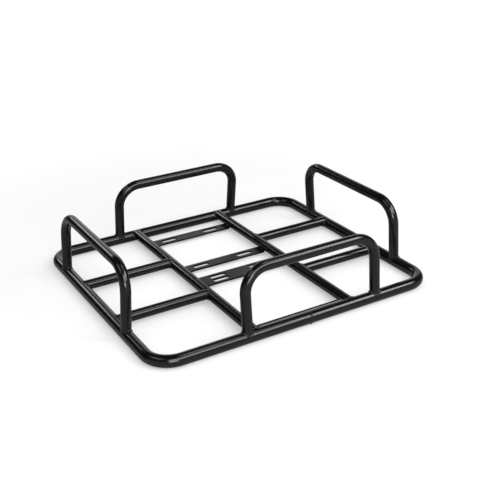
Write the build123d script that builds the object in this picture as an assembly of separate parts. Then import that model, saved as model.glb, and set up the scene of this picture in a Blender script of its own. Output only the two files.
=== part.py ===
from build123d import *
import os
from math import cos, radians, sin, sqrt

# Motorcycle luggage rack of welded round steel tube.
# X runs across the motorcycle, Y fore and aft, Z up.
# The origin is under the middle of the perimeter frame, at the level the frame rests on.

# Perimeter frame, one tube bent at four corners and closed by a butt weld
FRAME_LENGTH = 414.0          # across, between tube centres
FRAME_WIDTH = 360.5           # fore and aft, between tube centres
FRAME_TUBE_OD = 16.0
FRAME_TUBE_WALL = 1.5
FRAME_BEND_RADIUS = 32.5      # to the tube's centre line
SEAM_X = 9.0                  # place of the butt weld on the front run
SEAM_GAP = 1.2                # root gap between the two tube ends
SEAM_CAP_WIDTH = 4.5
SEAM_CAP_PROUD = 0.4
SEAM_GROUND_DEG = 25.0        # cap ground away this far each side of the underside

# Deck grid of two rails and four short cross tubes
GRID_TUBE_OD = 14.0
GRID_TUBE_WALL = 1.5
GRID_RAISE = 2.5              # grid centre line above the frame's centre line
RAIL_SPACING = 145.0          # between rail centres
RAIL_SHIFT = 2.5              # middle of the two rails from the middle of the frame
LEFT_REAR_CROSS_Y = 56.0
LEFT_FRONT_CROSS_Y = -57.5
RIGHT_REAR_CROSS_Y = 59.5
RIGHT_FRONT_CROSS_Y = -65.0
FRAME_LAP = 5.0               # how far grid tubes reach over the frame tube, from its inner side
RAIL_LAP = 4.5                # how far cross tubes reach over the rail, from its outer side
STAY_OD = 6.0                 # solid round bar behind the front run, from rail to rail

# Four upright hoops that stand on the frame
HOOP_TUBE_OD = 14.0
HOOP_TUBE_WALL = 1.5
HOOP_HEIGHT = 88.5            # frame centre line to the hoop's top centre line
HOOP_BEND_RADIUS = 31.5
HOOP_LEAN_DEG = 4.0           # towards the middle of the rack
REAR_HOOP_LEAN_DEG = 8.0
SIDE_HOOP_SPAN = 209.5        # between leg centres
END_HOOP_SPAN = 197.5
LEFT_HOOP_SHIFT = 12.5        # hoop's middle from the middle of its side
RIGHT_HOOP_SHIFT = -4.0
FRONT_HOOP_SHIFT = 16.0
REAR_HOOP_SHIFT = 1.0

# Slotted mounting plates between the rails, flush with their undersides
PLATE_THICKNESS = 2.5
NARROW_PLATE_WIDTH = 18.0
WIDE_PLATE_WIDTH = 27.0
REAR_PLATE_INSET = 41.5       # plate's middle from the frame's rear run
MIDDLE_PLATE_Y = 33.5
FRONT_PLATE_Y = -14.5
SLOT_WIDTH = 8.5              # clears an M8 bolt
SLOT_LENGTH = 26.0
NARROW_SLOT_SPACING = 72.5
WIDE_SLOT_SPACING = 64.5
WIDE_SLOT_WEB = 2.5           # metal left between the two rows of slots

# Joints
FIT_GAP = 0.1                 # fit-up gap under every coped or butted end
WELD_LEG = 2.5
HOOP_WELD_SIDE = 0.8          # thinner bead where a leg is almost as wide as the frame tube
PLATE_WELD_INSET = 1.0        # weld stops this far short of the plate's edges

frame_r = FRAME_TUBE_OD / 2
grid_r = GRID_TUBE_OD / 2
hoop_r = HOOP_TUBE_OD / 2
stay_r = STAY_OD / 2
half_length = FRAME_LENGTH / 2
half_width = FRAME_WIDTH / 2
side_x = {"left": -half_length, "right": half_length}
rail_x = {"left": RAIL_SHIFT - RAIL_SPACING / 2, "right": RAIL_SHIFT + RAIL_SPACING / 2}
frame_z = frame_r
grid_z = frame_z + GRID_RAISE
plate_bottom = grid_z - grid_r
plate_top = plate_bottom + PLATE_THICKNESS
frame_setback = frame_r - FRAME_LAP     # end of a grid tube, from the frame's centre line
rail_setback = grid_r - RAIL_LAP        # end of a cross tube, from the rail's centre line
rail_length = FRAME_WIDTH - 2 * frame_setback
stay_back = sqrt((frame_r + stay_r + FIT_GAP) ** 2 - GRID_RAISE**2)
cut_length = 2 * (FRAME_LENGTH + FRAME_WIDTH)

# Which way a thing on each side of the frame is turned, so that its own +Y looks inward
TURN = {"front": 0, "rear": 180, "left": -90, "right": 90}


def swept_tube(path, outside, wall):
    """A hollow round tube that follows a path."""
    ring = Circle(outside / 2) - Circle(outside / 2 - wall)
    return sweep(Plane(origin=path @ 0, z_dir=path % 0) * ring, path=path)


def straight_tube(outside, wall, length):
    """A hollow round tube along Z, starting at the origin."""
    return extrude(Circle(outside / 2) - Circle(outside / 2 - wall), amount=length)


def host_rod(radius):
    """A long round bar along X, the outside of the tube that another one is fitted to."""
    return Rot(0, 90, 0) * Cylinder(radius, cut_length)


def rail_rod(side, gap=0):
    """The solid outline of a rail, before its ends are coped, with a gap round it."""
    rod = Rot(90, 0, 0) * Cylinder(grid_r + gap, rail_length)
    return Pos(rail_x[side], 0, grid_z) * rod


def standing_on(x, y, z, side):
    """A place whose +Y looks inward from a side of the frame and whose +Z is up."""
    return Pos(x, y, z) * Rot(0, 0, TURN[side])


def reaching_from(x, y, z, side):
    """A place whose +Z looks inward from a side of the frame and whose +Y is down."""
    return standing_on(x, y, z, side) * Rot(-90, 0, 0)


def saddle_weld(branch_r, host_r, offset, setback, side_leg):
    """
    The fillet weld where a branch tube along +Z meets a host tube along X.
    The branch stands off the host's axis by offset in Y and starts at setback above it.
    """
    crotch = sqrt(host_r**2 - offset**2)
    apex = branch_r + WELD_LEG
    oval = Pos(0, offset, 0) * Ellipse(branch_r + WELD_LEG, branch_r + side_leg)
    collar = extrude(oval, amount=crotch + apex)
    collar -= Pos(0, 0, setback - WELD_LEG) * Box(
        cut_length, cut_length, cut_length, align=(Align.CENTER, Align.CENTER, Align.MAX)
    )
    slope = Pos(0, offset, crotch) * Cone(
        apex, 0, apex, align=(Align.CENTER, Align.CENTER, Align.MIN)
    )
    slope += Pos(0, offset, crotch) * Cylinder(
        apex, 2 * host_r, align=(Align.CENTER, Align.CENTER, Align.MAX)
    )
    branch = Pos(0, offset, setback) * Cylinder(
        branch_r, cut_length, align=(Align.CENTER, Align.CENTER, Align.MIN)
    )
    bead = collar & slope & host_rod(host_r + WELD_LEG)
    return bead - host_rod(host_r) - branch


def make_frame():
    """The bent perimeter tube, open only at the root gap of its butt weld."""
    corners = (
        (SEAM_X + SEAM_GAP / 2, -half_width, frame_z),
        (half_length, -half_width, frame_z),
        (half_length, half_width, frame_z),
        (-half_length, half_width, frame_z),
        (-half_length, -half_width, frame_z),
        (SEAM_X - SEAM_GAP / 2, -half_width, frame_z),
    )
    path = FilletPolyline(*corners, radius=FRAME_BEND_RADIUS)
    return swept_tube(path, FRAME_TUBE_OD, FRAME_TUBE_WALL)


def make_seam_weld():
    """Weld metal in the root gap, with a low cap that is ground off underneath."""
    root = Cylinder(frame_r, SEAM_GAP) - Cylinder(frame_r - FRAME_TUBE_WALL, SEAM_GAP)
    cap = Cylinder(frame_r + SEAM_CAP_PROUD, SEAM_CAP_WIDTH) - Cylinder(frame_r, SEAM_CAP_WIDTH)
    reach = 2 * FRAME_TUBE_OD
    spread = reach * sin(radians(SEAM_GROUND_DEG))
    drop = reach * cos(radians(SEAM_GROUND_DEG))
    wedge = make_face(Polyline((0, 0), (drop, spread), (drop, -spread), close=True))
    cap -= extrude(wedge, amount=SEAM_CAP_WIDTH, both=True)
    # The cap is ground away where the stay lies against the run
    cap -= Pos(-GRID_RAISE, stay_back, 0) * Cylinder(stay_r + 4 * FIT_GAP, 2 * SEAM_CAP_WIDTH)
    return Pos(SEAM_X, -half_width, frame_z) * Rot(0, 90, 0) * (root + cap)


def make_rail(side):
    """A rail that runs fore and aft, coped over the frame at both ends."""
    place = Pos(rail_x[side], -rail_length / 2, grid_z) * Rot(-90, 0, 0)
    rail = place * straight_tube(GRID_TUBE_OD, GRID_TUBE_WALL, rail_length)
    for end in (-half_width, half_width):
        rail -= Pos(0, end, frame_z) * host_rod(frame_r + FIT_GAP)
    return rail


def make_stay():
    """The round bar behind the front run, coped to both rails and held by their end welds."""
    place = Pos(RAIL_SHIFT, stay_back - half_width, grid_z) * Rot(0, 90, 0)
    stay = place * Cylinder(stay_r, RAIL_SPACING)
    for side in rail_x:
        stay -= rail_rod(side, FIT_GAP)
    return stay


def make_cross_tube(side, y):
    """A short tube from a side of the frame to the rail next to it, coped at both ends."""
    length = abs(side_x[side] - rail_x[side]) - frame_setback - rail_setback
    place = reaching_from(side_x[side], y, grid_z, side) * Pos(0, 0, frame_setback)
    across = place * straight_tube(GRID_TUBE_OD, GRID_TUBE_WALL, length)
    across -= Pos(side_x[side], 0, frame_z) * Rot(0, 0, 90) * host_rod(frame_r + FIT_GAP)
    return across - rail_rod(side, FIT_GAP)


def make_hoop(span):
    """A hoop bent from one tube, standing over X, with both legs coped to the frame tube."""
    points = (
        (-span / 2, 0, 0),
        (-span / 2, 0, HOOP_HEIGHT),
        (span / 2, 0, HOOP_HEIGHT),
        (span / 2, 0, 0),
    )
    path = FilletPolyline(*points, radius=HOOP_BEND_RADIUS)
    return swept_tube(path, HOOP_TUBE_OD, HOOP_TUBE_WALL) - host_rod(frame_r + FIT_GAP)


def make_plate(width, y, spacing, rows):
    """A flat bar between the rails, with a slot near each end in every row."""
    bite = sqrt(grid_r**2 - (grid_z - plate_top) ** 2)
    length = RAIL_SPACING - 2 * (bite + FIT_GAP)
    plate = Rectangle(length, width)
    for x in (-spacing / 2, spacing / 2):
        for row in rows:
            plate -= Pos(x, row) * SlotOverall(SLOT_LENGTH, SLOT_WIDTH)
    return Pos(RAIL_SHIFT, y, plate_bottom) * extrude(plate, amount=PLATE_THICKNESS)


def make_plate_weld(side, width, y):
    """The fillet weld in the corner between a plate's top and the flank of a rail."""
    low = plate_top - grid_z
    high = low + WELD_LEG
    corner = (
        (-sqrt(grid_r**2 - low**2) - WELD_LEG, low),
        (-sqrt(grid_r**2 - high**2), high),
        (0, high),
        (0, low),
    )
    run = width - 2 * PLATE_WELD_INSET
    bead = extrude(Plane.XZ * make_face(Polyline(*corner, close=True)), amount=run / 2, both=True)
    bead -= Rot(0, 0, 90) * host_rod(grid_r)
    turn = 180 if side == "left" else 0
    return Pos(rail_x[side], y, grid_z) * Rot(0, 0, turn) * bead


parts = {
    "perimeter_frame": make_frame(),
    "frame_seam_weld": make_seam_weld(),
    "front_stay": make_stay(),
}

# One weld of each kind: hoop leg on frame, grid tube on frame, cross tube on rail
foot_bead = saddle_weld(hoop_r, frame_r, 0, WELD_LEG, HOOP_WELD_SIDE)
frame_bead = saddle_weld(grid_r, frame_r, -GRID_RAISE, frame_setback, WELD_LEG)
rail_bead = saddle_weld(grid_r, grid_r, 0, rail_setback, WELD_LEG)

# Hoops and the welds at their feet, which stop against a rail that ends close by
hoops = {
    "left": (-half_length, LEFT_HOOP_SHIFT, SIDE_HOOP_SPAN, HOOP_LEAN_DEG),
    "right": (half_length, RIGHT_HOOP_SHIFT, SIDE_HOOP_SPAN, HOOP_LEAN_DEG),
    "front": (FRONT_HOOP_SHIFT, -half_width, END_HOOP_SPAN, HOOP_LEAN_DEG),
    "rear": (REAR_HOOP_SHIFT, half_width, END_HOOP_SPAN, REAR_HOOP_LEAN_DEG),
}
foot_welds = {}
for side, (x, y, span, lean) in hoops.items():
    place = standing_on(x, y, frame_z, side) * Rot(-lean, 0, 0)
    parts[f"hoop_{side}"] = place * make_hoop(span)
    foot_welds[side] = []
    for leg in (-span / 2, span / 2):
        bead = place * Pos(leg, 0, 0) * foot_bead - rail_rod("left") - rail_rod("right")
        foot_welds[side].append(bead)
    parts[f"hoop_{side}_welds"] = Compound(children=foot_welds[side])

# Rails, with end welds that run into the welds of a hoop leg close by and over the stay's ends
for name in ("left", "right"):
    parts[f"rail_{name}"] = make_rail(name)
    beads = []
    for side, end in (("front", -half_width), ("rear", half_width)):
        bead = reaching_from(rail_x[name], end, frame_z, side) * frame_bead
        for neighbour in (parts[f"hoop_{side}"], *foot_welds[side], parts["front_stay"]):
            bead -= neighbour
        beads.append(bead.solids().sort_by(SortBy.VOLUME)[-1])
    parts[f"rail_{name}_welds"] = Compound(children=beads)

# Cross tubes and the welds at their outer and inner ends
cross_tubes = (
    ("left", "right", "rear", LEFT_REAR_CROSS_Y),
    ("left", "right", "front", LEFT_FRONT_CROSS_Y),
    ("right", "left", "rear", RIGHT_REAR_CROSS_Y),
    ("right", "left", "front", RIGHT_FRONT_CROSS_Y),
)
for side, far_side, name, y in cross_tubes:
    parts[f"cross_tube_{side}_{name}"] = make_cross_tube(side, y)
    outer = reaching_from(side_x[side], y, frame_z, side) * frame_bead
    inner = reaching_from(rail_x[side], y, grid_z, far_side) * rail_bead
    parts[f"cross_tube_{side}_{name}_welds"] = Compound(children=[outer, inner])

# Mounting plates and their welds to the rails
wide_row = (SLOT_WIDTH + WIDE_SLOT_WEB) / 2
plates = {
    "rear": (NARROW_PLATE_WIDTH, half_width - REAR_PLATE_INSET, NARROW_SLOT_SPACING, (0,)),
    "middle": (NARROW_PLATE_WIDTH, MIDDLE_PLATE_Y, NARROW_SLOT_SPACING, (0,)),
    "front": (WIDE_PLATE_WIDTH, FRONT_PLATE_Y, WIDE_SLOT_SPACING, (-wide_row, wide_row)),
}
for name, (width, y, spacing, rows) in plates.items():
    parts[f"mount_plate_{name}"] = make_plate(width, y, spacing, rows)
    beads = [make_plate_weld(side, width, y) for side in ("left", "right")]
    parts[f"mount_plate_{name}_welds"] = Compound(children=beads)

os.makedirs("parts", exist_ok=True)
for name, shape in parts.items():
    export_step(shape, f"parts/{name}.step")
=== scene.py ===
from math import cos, exp, pi, radians, sin, sqrt

import bpy
from mathutils import Matrix, Vector, noise


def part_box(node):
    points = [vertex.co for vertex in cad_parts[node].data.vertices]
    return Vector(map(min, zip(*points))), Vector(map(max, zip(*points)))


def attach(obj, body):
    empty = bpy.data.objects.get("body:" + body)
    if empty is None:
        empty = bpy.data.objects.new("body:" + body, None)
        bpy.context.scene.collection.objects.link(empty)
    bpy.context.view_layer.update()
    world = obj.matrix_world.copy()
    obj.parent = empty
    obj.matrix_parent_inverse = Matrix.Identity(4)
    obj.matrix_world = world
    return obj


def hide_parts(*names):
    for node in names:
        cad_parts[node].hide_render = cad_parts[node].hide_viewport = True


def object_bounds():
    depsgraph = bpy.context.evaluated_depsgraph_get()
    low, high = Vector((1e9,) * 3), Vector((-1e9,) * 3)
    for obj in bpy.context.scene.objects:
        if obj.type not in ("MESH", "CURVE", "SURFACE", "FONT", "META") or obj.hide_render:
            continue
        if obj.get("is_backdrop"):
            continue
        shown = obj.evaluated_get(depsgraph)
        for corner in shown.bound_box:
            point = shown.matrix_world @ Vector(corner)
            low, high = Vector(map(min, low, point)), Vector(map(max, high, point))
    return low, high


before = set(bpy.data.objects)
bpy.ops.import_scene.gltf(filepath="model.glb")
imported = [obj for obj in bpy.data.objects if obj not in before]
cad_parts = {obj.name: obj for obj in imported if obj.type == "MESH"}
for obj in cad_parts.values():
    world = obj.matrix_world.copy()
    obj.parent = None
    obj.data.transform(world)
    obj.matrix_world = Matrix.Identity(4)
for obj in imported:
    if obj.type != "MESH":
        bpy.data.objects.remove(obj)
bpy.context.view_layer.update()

# All lengths are metres in the rack's own frame: X across, Y towards the rear hoop, Z up.

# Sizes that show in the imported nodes
frame_low, frame_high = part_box("perimeter_frame")
rail_low, rail_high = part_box("rail_right")
FRAME_R = (frame_high.z - frame_low.z) / 2
FRAME_Z = (frame_high.z + frame_low.z) / 2
HALF_LENGTH = frame_high.x - FRAME_R
HALF_WIDTH = frame_high.y - FRAME_R
GRID_R = (rail_high.x - rail_low.x) / 2
GRID_Z = (rail_high.z + rail_low.z) / 2
SIDE_X = {"left": -HALF_LENGTH, "right": HALF_LENGTH}
RAIL_X = {side: sum(corner.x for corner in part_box(f"rail_{side}")) / 2 for side in SIDE_X}

# Sizes of the joints
HOOP_R = 0.007
HOOP_LEAN = {"left": radians(4), "right": radians(4), "front": radians(4), "rear": radians(8)}
HOOP_WELD_SIDE = 0.0008         # thinner bead where a leg is almost as wide as the frame tube
HOOP_END_SETBACK = 0.0025       # least height of a hoop's end over the frame's centre line
RAIL_END_SETBACK = 0.003        # end of a grid tube from the frame's centre line
CROSS_END_SETBACK = 0.0025      # end of a cross tube from the rail's centre line
SINK = 0.00005                  # toes of a bead lie this far under the paint of the tubes

# Black powder coat. Each noise has a scale per metre and a detail.
PAINT_COLOUR = (0.002, 0.002, 0.0021)
PAINT_GLOSS = 0.5               # how much the paint mirrors, as plain plastic does
UPRIGHT_SHADE_GLOSS = 0.15               # the same on upright faces, lowered as painted shade for the shaded floor they mirror
TUBE_ROUGHNESS = 0.18
PLATE_ROUGHNESS = 0.35
BEAD_ROUGHNESS = 0.12
ROUGHNESS_SPREAD = 0.03         # how far the roughness strays either way
NOISE_RANGE = (0.3, 0.7)        # where most values of a noise lie
CLOUD_NOISE = (70, 3)
CLOUD_SHADES = (0.8, 1.2)       # darkest and palest cloud against the plain colour
GLOSS_NOISE = (220, 4)
PEEL_NOISE = (700, 2)
PEEL_STRENGTH = 0.5
PEEL_DEPTH = 0.000008
GRAIN_NOISE = (3500, 2)
GRAIN_STRENGTH = 0.3
GRAIN_DEPTH = PEEL_DEPTH / 4

# Weld beads
BEAD_LEG = 0.0015
BEAD_BULGE = 0.00060            # crown of the bead above the straight line between its toes
BEAD_LUMP = 0.00060             # slow change in the crown along the bead
LUMP_LENGTH = 0.0040
LUMP_SHIFT = 1000               # how fast the lumps change from place to place, per metre
RIPPLE_PITCH = 0.0024
RIPPLE_DEPTH = 0.00024
RIPPLE_BEND = 1.6               # how far ripples curve back at the toes, in radians of their phase
STEPS_PER_RIPPLE = 12
BEAD_FACE_STEPS = 10
BEAD_END = 0.15                 # size of a bead at its two ends, as a share of the whole

# Cap of the frame's butt weld. Angles are degrees from the front of the tube over its top.
SEAM_HALF = 0.0015              # half of the cap's width
SEAM_FULLNESS = 0.15            # share of a fillet bead's crown
SEAM_ARCS = ((-65, 154), (180, 245))                # open at the stay and under the tube
SEAM_LUMPS = ((46, 20, 0.0010), (-54, 11, 0.0013))  # angle, spread and height

# The photograph's camera, in degrees about the middle of the frame tube's ring
CAMERA_AZIMUTH = -29.973
CAMERA_ELEVATION = 24.486
CAMERA_ROLL = -1.359
CAMERA_DISTANCE = 1.237119
CAMERA_PAN = (0.010576, 0.038501)   # to the right and up
CAMERA_LENS_MM = 64.365
CAMERA_SENSOR_MM = 36.0

# The studio, as the paint of the tubes reflects it. Azimuth 0 is towards -Y and 90 towards +X.
FLOOR_HALF = 6.0
FLOOR_COLOUR = 0.38
FLOOR_ROUGHNESS = 0.9
FLOOR_GLOW = 0.62               # what the floor adds for the camera, so that it shows white
FLOOR_GLOW_FAR = 0.9            # the same far from the lamps
FLOOR_FAR = (0.35, 1.1)         # how far off the floor counts as near and as far
FLOOR_GLOW_MIRRORED = 0.02      # what it adds where the paint mirrors it
FLOOR_SHADE = 0.5               # how far things close by shade that glow
FLOOR_SHADE_REACH = 0.05
FLOOR_SHADE_SAMPLES = 4
SOFTBOXES = {
    "key": dict(azimuth=7, elevation=40, distance=1.6, width=1.9, height=0.65, radiance=5.2),
    "side": dict(azimuth=53, elevation=42, distance=3.2, width=0.75, height=1.15, radiance=9.2),
    "front": dict(azimuth=-18, elevation=17, distance=1.6, width=0.7, height=0.36, radiance=9.0),
    "top": dict(azimuth=60, elevation=70, distance=1.6, width=0.6, height=0.45, radiance=2.6),
    "left": dict(azimuth=-82, elevation=52, distance=1.6, width=0.9, height=0.6, radiance=1.5),
    "back": dict(azimuth=-167, elevation=30, distance=4.0, width=1.2, height=0.53, radiance=4.6),
}
ROOM_LIGHT = 0.30               # plain light from all around
ROOM_MIRRORED = 0.04            # the dark room in the paint
# Pale parts of the room in the paint: sides and top are degrees off the middle and above the floor,
# first where the part ends and then where it is full
BACKDROP = dict(azimuth=150, sides=(38, 18), top=(40, 20), radiance=0.95)
ENTRANCE = dict(azimuth=-15, sides=(100, 75), top=(24, 8), radiance=0.42)

# Which way a thing on each side of the frame is turned, so that its own +Y looks inward
TURN = {"front": 0.0, "rear": pi, "left": -pi / 2, "right": pi / 2}


def standing_on(x, y, z, side):
    """A place whose +Y looks inward from a side of the frame and whose +Z is up."""
    return Matrix.Translation((x, y, z)) @ Matrix.Rotation(TURN[side], 4, "Z")


def reaching_from(x, y, z, side):
    """A place whose +Z looks inward from a side of the frame and whose +Y is down."""
    return standing_on(x, y, z, side) @ Matrix.Rotation(-pi / 2, 4, "X")


def middle(node):
    """The middle of a node's box."""
    low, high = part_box(node)
    return (low + high) / 2


class MeshParts:
    """Points and faces of one piece, gathered from several beads."""

    def __init__(self):
        self.points = []
        self.faces = []

    def add_rings(self, rings, closed):
        """Skins a row of equal loops of points, as a ring or with a fan over both ends."""
        first = len(self.points)
        size = len(rings[0])
        for ring in rings:
            self.points.extend(ring)
        count = len(rings)
        for i in range(count if closed else count - 1):
            here = first + i * size
            there = first + (i + 1) % count * size
            for j in range(size):
                k = (j + 1) % size
                self.faces.append((here + j, here + k, there + k, there + j))
        if not closed:
            self.faces.append(tuple(range(first + size - 1, first - 1, -1)))
            last = first + (count - 1) * size
            self.faces.append(tuple(range(last, last + size)))

    def make(self, name):
        mesh = bpy.data.meshes.new(name)
        mesh.from_pydata([tuple(p) for p in self.points], [], self.faces)
        mesh.shade_smooth()
        piece = bpy.data.objects.new(name, mesh)
        bpy.context.scene.collection.objects.link(piece)
        return piece


def bead_face(top, toe, root, run, length, fullness=1.0, lump=0.0):
    """
    The cross-section of a bead at one place along its run: the crowned face from its top to its toe,
    with ripples that curve back at both, then the root in the corner.
    """
    ripples = max(1, round(length / RIPPLE_PITCH))
    out = ((top + toe) / 2 - root).normalized()
    turn = 2 * pi * run / length
    where = Vector((cos(turn), sin(turn), 0)) * (length / LUMP_LENGTH / (2 * pi))
    crown = fullness * (BEAD_BULGE + BEAD_LUMP * noise.noise(where + root * LUMP_SHIFT)) + lump
    section = []
    for step in range(BEAD_FACE_STEPS + 1):
        u = step / BEAD_FACE_STEPS
        hump = 4 * u * (1 - u)
        phase = ripples * turn + RIPPLE_BEND * (1 - hump)
        ripple = fullness * RIPPLE_DEPTH * sin(phase) * sqrt(hump)
        section.append(top.lerp(toe, u) + out * (crown * hump + ripple))
    section.append(root)
    return section


def saddle_bead(parts, place, branch_r, host_r, offset, setback, side_leg):
    """
    The bead where a branch tube along +Z meets a host tube along X.
    The branch stands off the host's axis by offset in Y and starts at setback above it.
    """

    def stations(t):
        x = branch_r * cos(t)
        y = offset + branch_r * sin(t)
        z = max(setback, sqrt(max(host_r**2 - y**2, 0.0)))
        sunk = 1 - SINK / branch_r
        root = Vector((x * sunk, offset + (y - offset) * sunk, z - SINK))
        top = Vector((x * sunk, offset + (y - offset) * sunk, z + BEAD_LEG))
        toe_x = (branch_r + BEAD_LEG) * cos(t)
        toe_y = offset + (branch_r + side_leg) * sin(t)
        toe_z = sqrt(max(host_r**2 - toe_y**2, 0.0))
        lowest = setback - BEAD_LEG
        if toe_z < lowest:
            toe_z = lowest
            toe_y = sqrt(host_r**2 - toe_z**2) * (1 if toe_y > 0 else -1)
        toe = Vector((toe_x, toe_y * (1 - SINK / host_r), toe_z * (1 - SINK / host_r)))
        return top, toe, root

    around = round(2 * pi * (branch_r + BEAD_LEG / 2) / RIPPLE_PITCH) * STEPS_PER_RIPPLE
    turns = [2 * pi * i / around for i in range(around)]
    roots = [stations(t)[2] for t in turns]
    runs = [0.0]
    for i in range(around):
        runs.append(runs[-1] + (roots[(i + 1) % around] - roots[i]).length)
    rings = []
    for t, run in zip(turns, runs):
        top, toe, root = (place @ p for p in stations(t))
        rings.append(bead_face(top, toe, root, run, runs[-1]))
    parts.add_rings(rings, closed=True)


def plate_bead(parts, plate, side):
    """The bead in the corner between a plate's top and the flank of a rail."""
    low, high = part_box(plate + "_welds")
    plate_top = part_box(plate)[1].z
    drop = plate_top - GRID_Z
    rise = drop + BEAD_LEG
    root = Vector((-sqrt(GRID_R**2 - drop**2), 0, drop - SINK))
    top = Vector((-sqrt(GRID_R**2 - rise**2) + SINK, 0, rise))
    toe = Vector((root.x - BEAD_LEG, 0, drop - SINK))
    length = high.y - low.y
    count = round(length / RIPPLE_PITCH) * STEPS_PER_RIPPLE
    turn = pi if side == "left" else 0.0
    rings = []
    for i in range(count + 1):
        share = i / count
        end = min(share, 1 - share) * length
        fill = sqrt(1 - max(0.0, 1 - end / BEAD_LEG) ** 2)
        place = Matrix.Translation((RAIL_X[side], low.y + share * length, GRID_Z))
        place = place @ Matrix.Rotation(turn, 4, "Z")
        corner = root + Vector((SINK, 0, 0))
        edge = [place @ corner.lerp(p, BEAD_END + (1 - BEAD_END) * fill) for p in (top, toe)]
        rings.append(bead_face(edge[0], edge[1], place @ corner, share * length, length))
    parts.add_rings(rings, closed=False)


def seam_bead(parts, start, end):
    """The cap of the frame's butt weld, between two angles round the tube."""
    centre = Vector((middle("frame_seam_weld").x, -HALF_WIDTH, FRAME_Z))
    length = radians(end - start) * FRAME_R
    count = round(length / RIPPLE_PITCH) * STEPS_PER_RIPPLE
    rings = []
    for i in range(count + 1):
        run = length * i / count
        angle = start + (end - start) * i / count
        out = Vector((0, -cos(radians(angle)), sin(radians(angle))))
        base = centre + out * (FRAME_R - SINK)
        taper = max(0.0, 1 - min(run, length - run) / SEAM_HALF)
        half = Vector((SEAM_HALF * (BEAD_END + (1 - BEAD_END) * sqrt(1 - taper**2)), 0, 0))
        lump = sum(height * exp(-(((angle - at) / spread) ** 2)) for at, spread, height in SEAM_LUMPS)
        root = base - out * SEAM_HALF
        rings.append(bead_face(base - half, base + half, root, run, length, SEAM_FULLNESS, lump))
    parts.add_rings(rings, closed=False)


def dress_bead(parts, name, nodes):
    """Makes the gathered beads one piece that stands for the plain weld nodes."""
    piece = parts.make(name)
    piece.data.materials.append(weld_paint)
    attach(piece, "root")
    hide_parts(*nodes)


def powder_coat(name, roughness, painted_shade_upright=False):
    """
    Black powder coat: faint cloudiness, uneven gloss, orange peel and fine grain.
    With painted shade on upright faces, faces that stand upright mirror less than flat ones, standing in
    for the shaded floor they mirror.
    """
    material = bpy.data.materials.new(name)
    material.use_nodes = True
    nodes = material.node_tree.nodes
    links = material.node_tree.links
    shader = nodes["Principled BSDF"]
    shader.inputs["Specular IOR Level"].default_value = PAINT_GLOSS
    place = nodes.new("ShaderNodeTexCoord")
    # Painted shade: upright faces mirror less than flat ones, set by how upright the face is
    if painted_shade_upright:
        normal = nodes.new("ShaderNodeSeparateXYZ")
        links.new(nodes.new("ShaderNodeNewGeometry").outputs["True Normal"], normal.inputs["Vector"])
        flat = nodes.new("ShaderNodeMath")
        flat.operation = "ABSOLUTE"
        links.new(normal.outputs["Z"], flat.inputs[0])
        sheen = nodes.new("ShaderNodeMapRange")
        sheen.inputs["To Min"].default_value = UPRIGHT_SHADE_GLOSS
        sheen.inputs["To Max"].default_value = PAINT_GLOSS
        links.new(flat.outputs["Value"], sheen.inputs["Value"])
        links.new(sheen.outputs["Result"], shader.inputs["Specular IOR Level"])

    def cloud(scale, detail):
        texture = nodes.new("ShaderNodeTexNoise")
        texture.inputs["Scale"].default_value = scale
        texture.inputs["Detail"].default_value = detail
        links.new(place.outputs["Object"], texture.inputs["Vector"])
        return texture.outputs["Fac"]

    def spread(value, low, high):
        remap = nodes.new("ShaderNodeMapRange")
        remap.inputs["From Min"].default_value = NOISE_RANGE[0]
        remap.inputs["From Max"].default_value = NOISE_RANGE[1]
        remap.inputs["To Min"].default_value = low
        remap.inputs["To Max"].default_value = high
        links.new(value, remap.inputs["Value"])
        return remap.outputs["Result"]

    tint = nodes.new("ShaderNodeMix")
    tint.data_type = "RGBA"
    for socket, shade in zip(("A", "B"), CLOUD_SHADES):
        tint.inputs[socket].default_value = (*(shade * c for c in PAINT_COLOUR), 1)
    links.new(cloud(*CLOUD_NOISE), tint.inputs["Factor"])
    links.new(tint.outputs["Result"], shader.inputs["Base Color"])
    smooth = roughness - ROUGHNESS_SPREAD
    rough = roughness + ROUGHNESS_SPREAD
    links.new(spread(cloud(*GLOSS_NOISE), smooth, rough), shader.inputs["Roughness"])

    peel = nodes.new("ShaderNodeBump")
    peel.inputs["Strength"].default_value = PEEL_STRENGTH
    peel.inputs["Distance"].default_value = PEEL_DEPTH
    links.new(cloud(*PEEL_NOISE), peel.inputs["Height"])
    grain = nodes.new("ShaderNodeBump")
    grain.inputs["Strength"].default_value = GRAIN_STRENGTH
    grain.inputs["Distance"].default_value = GRAIN_DEPTH
    links.new(cloud(*GRAIN_NOISE), grain.inputs["Height"])
    links.new(peel.outputs["Normal"], grain.inputs["Normal"])
    links.new(grain.outputs["Normal"], shader.inputs["Normal"])
    return material


tube_paint = powder_coat("tube_paint", TUBE_ROUGHNESS)
# The plates get painted shade on their upright edge faces
plate_paint = powder_coat("plate_paint", PLATE_ROUGHNESS, painted_shade_upright=True)
weld_paint = powder_coat("weld_paint", BEAD_ROUGHNESS)

for name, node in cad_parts.items():
    node.data.materials.clear()
    node.data.materials.append(plate_paint if name.startswith("mount_plate") else tube_paint)

# Cap of the frame's butt weld
beads = MeshParts()
for start, end in SEAM_ARCS:
    seam_bead(beads, start, end)
dress_bead(beads, "frame_seam_bead", ["frame_seam_weld"])

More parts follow.
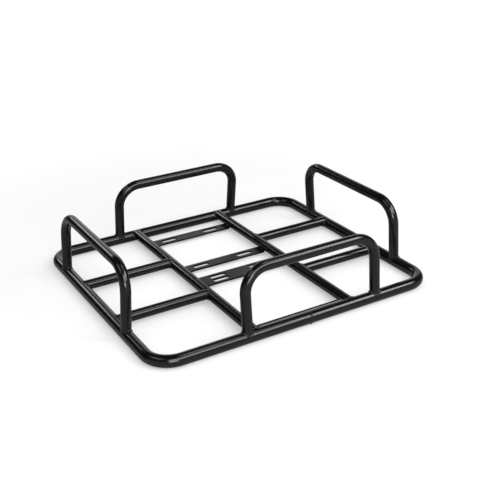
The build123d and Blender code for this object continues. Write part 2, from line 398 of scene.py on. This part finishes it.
# Beads at the feet of the hoops
for side in ("left", "right", "front", "rear"):
    low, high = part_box(f"hoop_{side}")
    centre = (low + high) / 2
    beads = MeshParts()
    if side in ("left", "right"):
        place = standing_on(SIDE_X[side], centre.y, FRAME_Z, side)
        half_span = (high.y - low.y) / 2 - HOOP_R
    else:
        y = HALF_WIDTH if side == "rear" else -HALF_WIDTH
        place = standing_on(centre.x, y, FRAME_Z, side)
        half_span = (high.x - low.x) / 2 - HOOP_R
    place = place @ Matrix.Rotation(-HOOP_LEAN[side], 4, "X")
    for leg in (-half_span, half_span):
        foot = place @ Matrix.Translation((leg, 0, 0))
        saddle_bead(beads, foot, HOOP_R, FRAME_R, 0, HOOP_END_SETBACK, HOOP_WELD_SIDE)
    dress_bead(beads, f"hoop_{side}_beads", [f"hoop_{side}_welds"])

# Beads at the ends of the rails
for name in ("left", "right"):
    beads = MeshParts()
    for side, end in (("front", -HALF_WIDTH), ("rear", HALF_WIDTH)):
        place = reaching_from(RAIL_X[name], end, FRAME_Z, side)
        saddle_bead(beads, place, GRID_R, FRAME_R, FRAME_Z - GRID_Z, RAIL_END_SETBACK, BEAD_LEG)
    dress_bead(beads, f"rail_{name}_beads", [f"rail_{name}_welds"])

# Beads at both ends of the cross tubes
for side, far_side in (("left", "right"), ("right", "left")):
    for end in ("rear", "front"):
        tube = f"cross_tube_{side}_{end}"
        y = middle(tube).y
        beads = MeshParts()
        outer = reaching_from(SIDE_X[side], y, FRAME_Z, side)
        saddle_bead(beads, outer, GRID_R, FRAME_R, FRAME_Z - GRID_Z, RAIL_END_SETBACK, BEAD_LEG)
        inner = reaching_from(RAIL_X[side], y, GRID_Z, far_side)
        saddle_bead(beads, inner, GRID_R, GRID_R, 0, CROSS_END_SETBACK, BEAD_LEG)
        dress_bead(beads, f"{tube}_beads", [f"{tube}_welds"])

# Beads of the mounting plates
for row in ("rear", "middle", "front"):
    plate = f"mount_plate_{row}"
    beads = MeshParts()
    for side in ("left", "right"):
        plate_bead(beads, plate, side)
    dress_bead(beads, f"{plate}_beads", [f"{plate}_welds"])


def facing(azimuth, elevation):
    """The direction of a place in the studio, from angles in degrees."""
    az, el = radians(azimuth), radians(elevation)
    return Vector((sin(az) * cos(el), -cos(az) * cos(el), sin(el)))


class Wiring:
    """Math nodes of one shader tree, each returned as its output socket."""

    def __init__(self, tree):
        self.nodes = tree.nodes
        self.links = tree.links

    def put(self, value, socket):
        """Sets a socket to a number, or links another socket to it."""
        if isinstance(value, bpy.types.NodeSocket):
            self.links.new(value, socket)
        else:
            socket.default_value = value

    def math(self, operation, *values):
        node = self.nodes.new("ShaderNodeMath")
        node.operation = operation
        for socket, value in zip(node.inputs, values):
            self.put(value, socket)
        return node.outputs["Value"]

    def dot(self, vector, direction):
        node = self.nodes.new("ShaderNodeVectorMath")
        node.operation = "DOT_PRODUCT"
        self.links.new(vector, node.inputs[0])
        node.inputs[1].default_value = direction
        return node.outputs["Value"]

    def length(self, vector):
        node = self.nodes.new("ShaderNodeVectorMath")
        node.operation = "LENGTH"
        self.links.new(vector, node.inputs[0])
        return node.outputs["Value"]

    def ramp(self, value, start, end, low, high):
        """A smooth step of a value from low at start to high at end."""
        node = self.nodes.new("ShaderNodeMapRange")
        node.interpolation_type = "SMOOTHSTEP"
        for socket, number in (("From Min", start), ("From Max", end), ("To Min", low), ("To Max", high)):
            self.put(number, node.inputs[socket])
        self.links.new(value, node.inputs["Value"])
        return node.outputs["Result"]

    def place(self, kind):
        return self.nodes.new("ShaderNodeTexCoord").outputs[kind]

    def by_ray(self, straight, mirrored, others):
        """One strength for camera and transmission rays, one for glossy rays and one for the rest."""
        path = self.nodes.new("ShaderNodeLightPath").outputs
        direct = self.math("MAXIMUM", path["Is Camera Ray"], path["Is Transmission Ray"])
        glossy = self.math("MULTIPLY", path["Is Glossy Ray"], self.math("SUBTRACT", 1.0, direct))
        rest = self.math("SUBTRACT", self.math("SUBTRACT", 1.0, direct), glossy)
        total = self.math("MULTIPLY", rest, others)
        total = self.math("MULTIPLY_ADD", glossy, mirrored, total)
        return self.math("MULTIPLY_ADD", direct, straight, total)


def add_floor():
    """A pale floor that shows white to the camera and keeps the shadows."""
    h = FLOOR_HALF
    mesh = bpy.data.meshes.new("floor")
    mesh.from_pydata([(-h, -h, 0), (h, -h, 0), (h, h, 0), (-h, h, 0)], [], [(0, 1, 2, 3)])
    floor = bpy.data.objects.new("floor", mesh)
    bpy.context.scene.collection.objects.link(floor)
    material = bpy.data.materials.new("floor")
    material.use_nodes = True
    shader = material.node_tree.nodes["Principled BSDF"]
    shader.inputs["Base Color"].default_value = (FLOOR_COLOUR, FLOOR_COLOUR, FLOOR_COLOUR, 1)
    shader.inputs["Roughness"].default_value = FLOOR_ROUGHNESS
    shader.inputs["Specular IOR Level"].default_value = 0.0
    shader.inputs["Emission Color"].default_value = (1, 1, 1, 1)
    wires = Wiring(material.node_tree)
    glow = wires.ramp(wires.length(wires.place("Object")), *FLOOR_FAR, FLOOR_GLOW, FLOOR_GLOW_FAR)
    shade = wires.nodes.new("ShaderNodeAmbientOcclusion")
    shade.inputs["Distance"].default_value = FLOOR_SHADE_REACH
    shade.samples = FLOOR_SHADE_SAMPLES
    open_share = wires.math("MULTIPLY_ADD", shade.outputs["AO"], FLOOR_SHADE, 1 - FLOOR_SHADE)
    glow = wires.math("MULTIPLY", glow, open_share)
    wires.put(wires.by_ray(glow, FLOOR_GLOW_MIRRORED, 0.0), shader.inputs["Emission Strength"])
    mesh.materials.append(material)
    floor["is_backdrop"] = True


def add_world():
    """White to the camera; a dim room with two pale parts to the paint; plain light to the rest."""
    world = bpy.data.worlds.new("studio")
    world.use_nodes = True
    wires = Wiring(world.node_tree)
    sight = wires.place("Generated")
    rise = wires.dot(sight, (0, 0, 1))
    level = wires.math("SQRT", wires.math("SUBTRACT", 1.0, wires.math("MULTIPLY", rise, rise)))
    mirrored = ROOM_MIRRORED
    for pale in (BACKDROP, ENTRANCE):
        along = wires.math("DIVIDE", wires.dot(sight, facing(pale["azimuth"], 0)), level)
        across = wires.ramp(along, *(cos(radians(a)) for a in pale["sides"]), 0.0, 1.0)
        below = wires.ramp(rise, *(sin(radians(a)) for a in reversed(pale["top"])), 1.0, 0.0)
        share = wires.math("MULTIPLY", across, below)
        mirrored = wires.math("MULTIPLY_ADD", share, pale["radiance"], mirrored)
    background = world.node_tree.nodes["Background"]
    background.inputs["Color"].default_value = (1, 1, 1, 1)
    wires.put(wires.by_ray(1.0, mirrored, ROOM_LIGHT), background.inputs["Strength"])
    bpy.context.scene.world = world


def add_softbox(name, azimuth, elevation, distance, width, height, radiance):
    """An even rectangle of light that looks at the middle of the rack."""
    data = bpy.data.lights.new(name, "AREA")
    data.shape = "RECTANGLE"
    data.size = width
    data.size_y = height
    data.energy = radiance * pi * width * height
    lamp = bpy.data.objects.new(name, data)
    bpy.context.scene.collection.objects.link(lamp)
    back = facing(azimuth, elevation)
    turn = back.to_track_quat("Z", "Y").to_matrix().to_4x4()
    lamp.matrix_world = Matrix.Translation(Vector((0, 0, FRAME_Z)) + back * distance) @ turn
    lamp.visible_camera = False


def add_camera():
    """The photograph's camera."""
    back = facing(CAMERA_AZIMUTH, CAMERA_ELEVATION)
    azimuth = radians(CAMERA_AZIMUTH)
    roll = radians(CAMERA_ROLL)
    level = Vector((cos(azimuth), sin(azimuth), 0))
    upright = back.cross(level)
    right = cos(roll) * level + sin(roll) * upright
    up = cos(roll) * upright - sin(roll) * level
    data = bpy.data.cameras.new("camera")
    data.lens = CAMERA_LENS_MM
    data.sensor_width = CAMERA_SENSOR_MM
    camera = bpy.data.objects.new("camera", data)
    bpy.context.scene.collection.objects.link(camera)
    target = Vector((0, 0, FRAME_Z)) + right * CAMERA_PAN[0] + up * CAMERA_PAN[1]
    turn = Matrix((right, up, back)).transposed().to_4x4()
    camera.matrix_world = Matrix.Translation(target + back * CAMERA_DISTANCE) @ turn
    bpy.context.scene.camera = camera


add_floor()
add_world()
for name, facts in SOFTBOXES.items():
    add_softbox(name, **facts)
add_camera()
bpy.context.scene.view_settings.view_transform = "Standard"

low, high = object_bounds()
